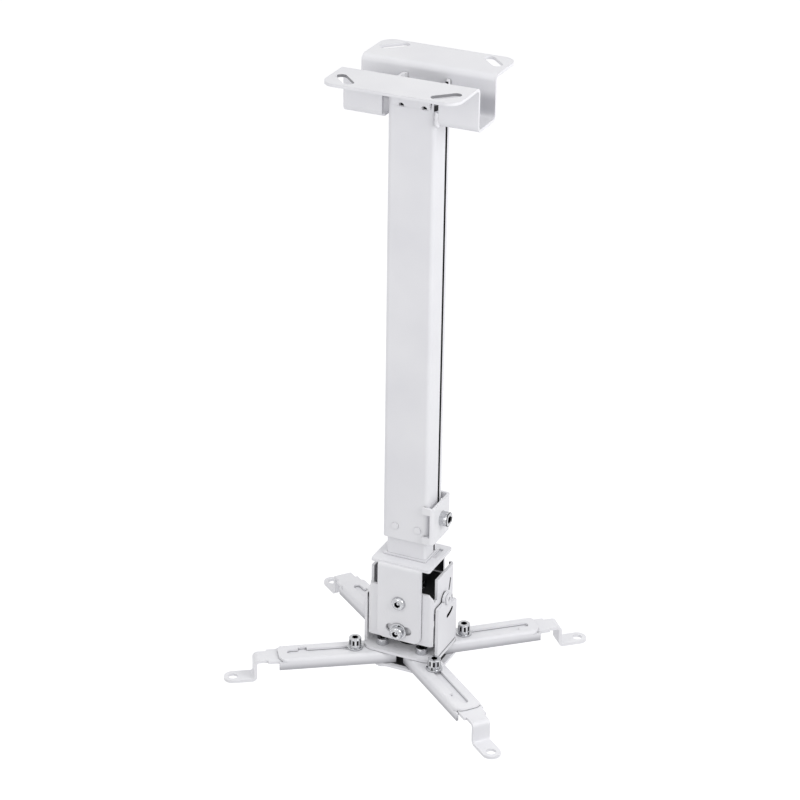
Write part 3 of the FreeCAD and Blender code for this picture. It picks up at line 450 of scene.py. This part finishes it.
def cap_screw(name, head, height, socket, thread, length, pitch, flutes, painted_reflection_roots=False, painted_reflection_rim=False):
    """Socket cap screw along +Z, its head above the origin: knurled head, broached socket, cut thread.

    The knurl is drawn with few coarse flutes, so that it shows; their roots can take painted dark
    reflections, and so can the rim of the head's top."""
    points = 4
    cap = blank_rod(points * flutes, head / 2, height)
    low, high, top = KNURL_LOW * height * MM, KNURL_HIGH * height * MM, height * MM
    radius = head / 2 * MM
    bpy.ops.object.mode_set(mode="EDIT")
    for level in (low, high):
        bpy.ops.mesh.select_all(action="SELECT")
        bpy.ops.mesh.bisect(plane_co=(0, 0, level), plane_no=(0, 0, 1))
    step = 2 * math.pi / (points * flutes)

    def groove(point):
        knurled = low - TINY < point.co.z < high + TINY
        return knurled and round(math.atan2(point.co.y, point.co.x) / step) % points == 0

    pick(cap, "VERT", groove)
    root = COARSE_ROOT if painted_reflection_roots else FINE_ROOT
    bpy.ops.transform.resize(value=(root, root, 1), center_override=(0, 0, 0))
    bevel_edges(cap, at_height(cap, top), CAP_ROUND * height, 3)
    finish_head(cap, socket, height, CAP_SOCKET * height)
    for face in cap.data.polygons:
        reach = from_axis(face.center)
        side = low < face.center.z < high and abs(face.normal.z) < 0.3
        in_root = side and reach < DARK_ROOT_WITHIN * radius
        on_rim = face.center.z > RIM_ABOVE * top and reach > RIM_WITHIN * radius
        # painted dark reflections in the flutes' roots and on the rim
        if (painted_reflection_roots and in_root) or (painted_reflection_rim and on_rim):
            face.material_index = DARK
    screw = join([cap, threaded_shank(thread, length, pitch)], name)
    smooth(screw)
    return screw


def button_screw(name, head, height, socket, thread, length, pitch):
    """Socket screw with a low domed head above the origin."""
    cap = blank_rod(64, head / 2, height)
    bevel_edges(cap, at_height(cap, height * MM), BUTTON_ROUND * height, 6)
    finish_head(cap, socket, height, BUTTON_SOCKET * height)
    screw = join([cap, threaded_shank(thread, length, pitch)], name)
    smooth(screw)
    return screw


def finish_head(cap, socket, height, depth):
    """Broach the six-sided socket, with a drill point in its bottom; its walls and the floor round that point
    get painted shade.
    """
    corner = socket / 2 / math.cos(math.pi / 6)
    drill(cap, 6, corner, 2 * depth, height)
    cap.data.materials.append(NICKEL)
    cap.data.materials.append(DARK_PAINTED_STEEL)
    top, bottom = height * MM, height * MM - depth * MM
    for face in cap.data.polygons:
        deep = bottom < face.center.z < top - 10 * TINY
        wall = deep and abs(face.normal.z) < 0.5 and from_axis(face.center) < corner * MM + TINY
        face.material_index = DARK if wall else BRIGHT

    def floor(face):
        return abs(face.center.z - bottom) < TINY and face.normal.z > 0.5

    pick(cap, "FACE", floor)
    bpy.ops.mesh.inset(thickness=0.27 * socket * MM, depth=0)
    bpy.ops.mesh.inset(thickness=0.17 * socket * MM, depth=-0.1 * socket * MM)
    bpy.ops.object.mode_set(mode="OBJECT")
    for face in cap.data.polygons:
        if floor(face):
            face.material_index = DARK


def threaded_shank(thread, length, pitch):
    """Shank below the origin with a thread rolled into it, drawn as rings."""
    bpy.ops.object.select_all(action="DESELECT")
    bpy.ops.mesh.primitive_circle_add(vertices=28, radius=thread / 2 * MM, fill_type="NGON",
                                      location=(0, 0, 0))
    shank = bpy.context.object
    bpy.ops.object.mode_set(mode="EDIT")
    bpy.ops.mesh.select_all(action="SELECT")
    flanks = max(2, 2 * int(length / pitch) - 1)
    root = (thread - 1.1 * pitch) / thread
    plain = length - flanks * pitch / 2
    bpy.ops.mesh.extrude_region_move(TRANSFORM_OT_translate={"value": (0, 0, -plain * MM)})
    for flank in range(flanks):
        bpy.ops.mesh.extrude_region_move(TRANSFORM_OT_translate={"value": (0, 0, -pitch / 2 * MM)})
        scale = root if flank % 2 == 0 else 1 / root
        bpy.ops.transform.resize(value=(scale, scale, 1), center_override=(0, 0, 0))
    bpy.ops.object.mode_set(mode="OBJECT")
    outward(shank)
    shank.data.materials.append(NICKEL)
    return shank


def hex_nut(name, width, height, thread):
    """Six-sided nut above the origin, both faces chamfered."""
    across = width / math.cos(math.pi / 6)
    nut = blank_rod(6, across / 2, height)
    turned = blank_rod(48, across / 2, height)
    bevel_edges(turned, lies_level(turned), 0.07 * width, 1)
    cut_with(nut, turned, "INTERSECT")
    drill(nut, 28, thread / 2 + NUT_PLAY, 3 * height)
    nut.data.materials.append(NICKEL)
    nut.name = name
    smooth(nut, 25)
    return nut


def flat_washer(width, height, thread):
    """Stamped ring above the origin, its edges tumbled round."""
    disc = blank_rod(56, width / 2, height)
    bevel_edges(disc, lies_level(disc), 0.16 * height, 2)
    drill(disc, 32, thread / 2 + WASHER_PLAY, 4 * height)
    disc.data.materials.append(NICKEL)
    smooth(disc)
    return disc


def spring_washer(width, height, thread, low):
    """Split ring of square wire that starts at a height, its ends cut apart."""
    inner, outer = thread / 2 + WASHER_PLAY, width / 2
    bpy.ops.object.select_all(action="DESELECT")
    bpy.ops.mesh.primitive_plane_add(size=1, location=((outer + inner) / 2 * MM, 0, (low + height / 2) * MM),
                                     rotation=(QUARTER, 0, 0))
    wire = bpy.context.object
    wire.scale = ((outer - inner) * MM, height * MM, 1)
    bpy.ops.object.transform_apply(location=True, rotation=True, scale=True)
    bpy.ops.object.mode_set(mode="EDIT")
    bpy.ops.mesh.select_all(action="SELECT")
    bpy.ops.mesh.spin(steps=44, angle=math.radians(SPLIT_RING_DEGREES), center=(0, 0, 0), axis=(0, 0, 1))
    bpy.ops.mesh.select_all(action="SELECT")
    bpy.ops.mesh.remove_doubles(threshold=TINY / 2)
    bpy.ops.object.mode_set(mode="OBJECT")
    close_ends(wire)
    outward(wire)
    wire.data.materials.append(NICKEL)
    smooth(wire)
    return wire


def washer_pair(name, flat, spring, thread):
    """A flat washer with a spring washer on it."""
    return join([flat_washer(flat, FLAT_WASHER, thread),
                 spring_washer(spring, SPRING_WASHER, thread, FLAT_WASHER)], name)


def make_fasteners():
    """Make each fastener once and stand copies where the CAD has them; a copy's turn is in degrees."""
    clamp_screw = cap_screw("clamp_screw_pattern", **CLAMP_SCREW, flutes=28, painted_reflection_rim=True)
    pivot_screw = button_screw("pivot_screw_pattern", **PIVOT_SCREW)
    roll_screw = button_screw("roll_lock_pattern", **ROLL_SCREW)
    arm_screw = cap_screw("arm_lock_pattern", **ARM_SCREW, flutes=9, painted_reflection_roots=True)
    hub_screw = cap_screw("arm_pivot_pattern", **HUB_SCREW, flutes=24)
    head_nut = hex_nut("head_nut_pattern", **HEAD_NUT)
    hub_nut = hex_nut("arm_pivot_nut_pattern", **HUB_NUT)
    clamp_nut = hex_nut("clamp_nut_pattern", **CLAMP_NUT)
    arm_nut = hex_nut("arm_lock_nut_pattern", **ARM_NUT)
    roll_washer = washer_pair("roll_washer_pattern", **ROLL_WASHERS)
    arm_washer = washer_pair("arm_washer_pattern", **ARM_WASHERS)
    nut_face = BOX_FACE - HEAD_NUT["height"]

    dress([copy_to(clamp_screw, "right", (CLAMP_HEAD_X, 0, CLAMP_Z), 12)],
          "clamp_cap_screw", "ceiling", "clamp_screw")
    dress([copy_to(clamp_nut, "right", (CLAMP_NUT_X, 0, CLAMP_Z))],
          "clamp_hex_nut", "ceiling", "clamp_nut")
    dress(front_and_back(pivot_screw, YOKE_FACE, GIMBAL, (8, 21)),
          "roll_pivot_button_screws", "tilt", "roll_pivot_screws")
    dress(front_and_back(head_nut, nut_face, GIMBAL),
          "roll_pivot_hex_nuts", "tilt", "roll_pivot_nuts")
    dress(front_and_back(roll_screw, YOKE_FACE + WASHER_STACK, ROLL_LOCK_Z, (17, 3)),
          "roll_lock_button_screws", "tilt", "roll_lock_screws")
    dress(front_and_back(roll_washer, YOKE_FACE + FACE_GAP, ROLL_LOCK_Z, (70, 200)),
          "roll_lock_ring_washers", "tilt", "roll_lock_washers")
    dress(front_and_back(head_nut, nut_face, ROLL_LOCK_Z),
          "roll_lock_hex_nuts", "tilt", "roll_lock_nuts")
    corners = [(side * PIVOT_SIDE, depth * PIVOT_DEPTH) for side, depth, turn in ARMS.values()]
    dress([copy_to(hub_screw, "up", (x, y, HUB_TOP), 9 * i) for i, (x, y) in enumerate(corners)],
          "arm_pivot_cap_screws", "hub", "arm_pivot_screws")
    dress([copy_to(hub_nut, "up", (x, y, HUB_NUT_FOOT), 13 * i) for i, (x, y) in enumerate(corners)],
          "arm_pivot_hex_nuts", "hub", "arm_pivot_nuts")
    for count, (name, (side, depth, turn)) in enumerate(ARMS.items()):
        angle = math.radians(turn)
        x = side * PIVOT_SIDE + LOCK_AT * math.cos(angle)
        y = depth * PIVOT_DEPTH + LOCK_AT * math.sin(angle)
        body = name + "_foot"
        dress([copy_to(arm_screw, "up", (x, y, ARM_TOP + WASHER_STACK), 11 * count)],
              name + "_lock_cap_screw", body, name + "_lock_screw")
        dress([copy_to(arm_washer, "up", (x, y, ARM_TOP + FACE_GAP), 200 + 67 * count)],
              name + "_lock_ring_washers", body, name + "_lock_washers")
        dress([copy_to(arm_nut, "up", (x, y, ARM_NUT_FOOT), turn)],
              name + "_lock_hex_nut", body, name + "_lock_nut")
    for pattern in (clamp_screw, pivot_screw, roll_screw, arm_screw, hub_screw, head_nut, hub_nut, clamp_nut,
                    arm_nut, roll_washer, arm_washer):
        bpy.data.objects.remove(pattern)


# Weld that fixes the column in the ceiling bracket

WELD_X, WELD_Y, WELD_TOP = 17.8, -12.6, -21.5
RIPPLES, RIPPLE_STEP, RIPPLE_RADIUS = 8, 1.15, 1.9
RIPPLE_SHAPE = (1.0, 0.95, 0.62)
SWAY, SWAY_TURN = 0.2, 2.1


def make_bracket_weld():
    """A short painted weld bead of overlapping ripples between the column and the bracket's front wall."""
    ripples = []
    for count in range(RIPPLES):
        bpy.ops.object.select_all(action="DESELECT")
        x = WELD_X + SWAY * math.sin(SWAY_TURN * count)
        z = WELD_TOP - RIPPLE_STEP * count
        bpy.ops.mesh.primitive_uv_sphere_add(segments=20, ring_count=12, radius=RIPPLE_RADIUS * MM,
                                             location=(x * MM, WELD_Y * MM, z * MM))
        ripple = bpy.context.object
        ripple.scale = RIPPLE_SHAPE
        bpy.ops.object.transform_apply(location=True, rotation=True, scale=True)
        ripples.append(ripple)
    bead = join(ripples, "bracket_weld_bead")
    remesh = bead.modifiers.new("blend", "REMESH")
    remesh.mode = "VOXEL"
    remesh.voxel_size = 0.28 * MM
    only(bead)
    bpy.ops.object.modifier_apply(modifier=remesh.name)
    soften = bead.modifiers.new("soften", "SMOOTH")
    soften.iterations = 3
    bpy.ops.object.modifier_apply(modifier=soften.name)
    smooth(bead, 60)
    bead.data.materials.append(POWDER_COAT)
    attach(bead, "ceiling")


# Studio: places and sizes in metres. The lamps are soft, and near enough for the light to fall off down the
# column. Each has its name, place, size and watts.

LIT_POINT = Vector((0, 0, -0.15))
SKY_LIGHT, SEEN_SKY = 0.73, 1.0
LAMPS = (("right_light", (0.6, -0.15, 0.1), 0.4, 1.9),
         ("front_light", (-0.2, -0.6, 0.1), 0.4, 0.65),
         ("top_light", (0.1, -0.1, 1.0), 0.7, 1.6))
FLOOR_SIZE, FLOOR_Z, FLOOR_LIFT = 40, -0.8, 0.4
WHITE = (1, 1, 1, 1)


def seen_rays(tree):
    """1 on rays from the camera, off gloss and through glass, and 0 on those that only light the object."""
    path = add_node(tree, "ShaderNodeLightPath")
    seen = add_node(tree, "ShaderNodeMath", settings={"operation": "MAXIMUM"},
                    links={0: path.outputs["Is Camera Ray"], 1: path.outputs["Is Glossy Ray"]})
    seen = add_node(tree, "ShaderNodeMath", settings={"operation": "MAXIMUM"},
                    links={0: seen.outputs[0], 1: path.outputs["Is Transmission Ray"]})
    return seen.outputs[0]


def make_floor():
    """A pale floor that keeps the shadow and otherwise looks as white as the background."""
    bpy.ops.object.select_all(action="DESELECT")
    bpy.ops.mesh.primitive_plane_add(size=FLOOR_SIZE, location=(0, 0, FLOOR_Z))
    floor = bpy.context.object
    floor.name = "studio_floor"
    paint = bpy.data.materials.new("pale_floor")
    paint.use_nodes = True
    tree = paint.node_tree
    shader = tree.nodes["Principled BSDF"]
    shader.inputs["Base Color"].default_value = linear("#EDEDEF")
    shader.inputs["Roughness"].default_value = 0.9
    lift = add_node(tree, "ShaderNodeMath", settings={"operation": "MULTIPLY"}, inputs={1: FLOOR_LIFT},
                    links={0: seen_rays(tree)})
    shader.inputs["Emission Color"].default_value = WHITE
    tree.links.new(lift.outputs[0], shader.inputs["Emission Strength"])
    floor.data.materials.append(paint)


def make_lights():
    """An even sky, white where it is seen, and three soft lamps."""
    world = bpy.data.worlds.new("soft_studio")
    bpy.context.scene.world = world
    world.use_nodes = True
    tree = world.node_tree
    tree.nodes.clear()
    strength = add_node(tree, "ShaderNodeMapRange", inputs={"To Min": SKY_LIGHT, "To Max": SEEN_SKY},
                        links={"Value": seen_rays(tree)})
    sky = add_node(tree, "ShaderNodeBackground", inputs={"Color": WHITE},
                   links={"Strength": strength.outputs["Result"]})
    add_node(tree, "ShaderNodeOutputWorld", links={"Surface": sky.outputs[0]})
    for name, place, size, watts in LAMPS:
        lamp = bpy.data.lights.new(name, "AREA")
        lamp.size = size
        lamp.energy = watts
        holder = bpy.data.objects.new(name, lamp)
        bpy.context.scene.collection.objects.link(holder)
        holder.location = place
        holder.rotation_euler = (Vector(place) - LIT_POINT).to_track_quat("Z", "Y").to_euler()


# Camera: angles in degrees, places in metres, focal length in pixels of an 800 pixel picture

AZIMUTH, ELEVATION, ROLL = 24.43, 26.02, 0.85
TARGET_Z, SIDE_SHIFT, DISTANCE = -0.2277, -0.0094, 1.764
FOCAL_PIXELS, PICTURE_PIXELS, SENSOR_WIDTH = 2685.3, 800, 36


def make_camera():
    """The photograph's view: from the front right and a little above, long lens."""
    azimuth, elevation, roll = math.radians(AZIMUTH), math.radians(ELEVATION), math.radians(ROLL)
    back = Vector((math.sin(azimuth) * math.cos(elevation), -math.cos(azimuth) * math.cos(elevation),
                   math.sin(elevation)))
    right = Vector((math.cos(azimuth), math.sin(azimuth), 0))
    up = back.cross(right)
    side = right * math.cos(roll) + up * math.sin(roll)
    top = up * math.cos(roll) - right * math.sin(roll)
    place = Vector((0, 0, TARGET_Z)) + right * SIDE_SHIFT + back * DISTANCE
    lens = bpy.data.cameras.new("photo_view")
    lens.sensor_width = SENSOR_WIDTH
    lens.lens = FOCAL_PIXELS / PICTURE_PIXELS * SENSOR_WIDTH
    lens.clip_end = 100
    camera = bpy.data.objects.new("photo_view", lens)
    bpy.context.scene.collection.objects.link(camera)
    turn = Matrix((side, top, back)).transposed().to_4x4()
    camera.matrix_world = Matrix.Translation(place) @ turn
    bpy.context.scene.camera = camera


bpy.context.scene.view_settings.view_transform = "Standard"
coat_sheet_metal()
make_fasteners()
make_bracket_weld()
make_floor()
make_lights()
make_camera()
bpy.ops.object.select_all(action="DESELECT")
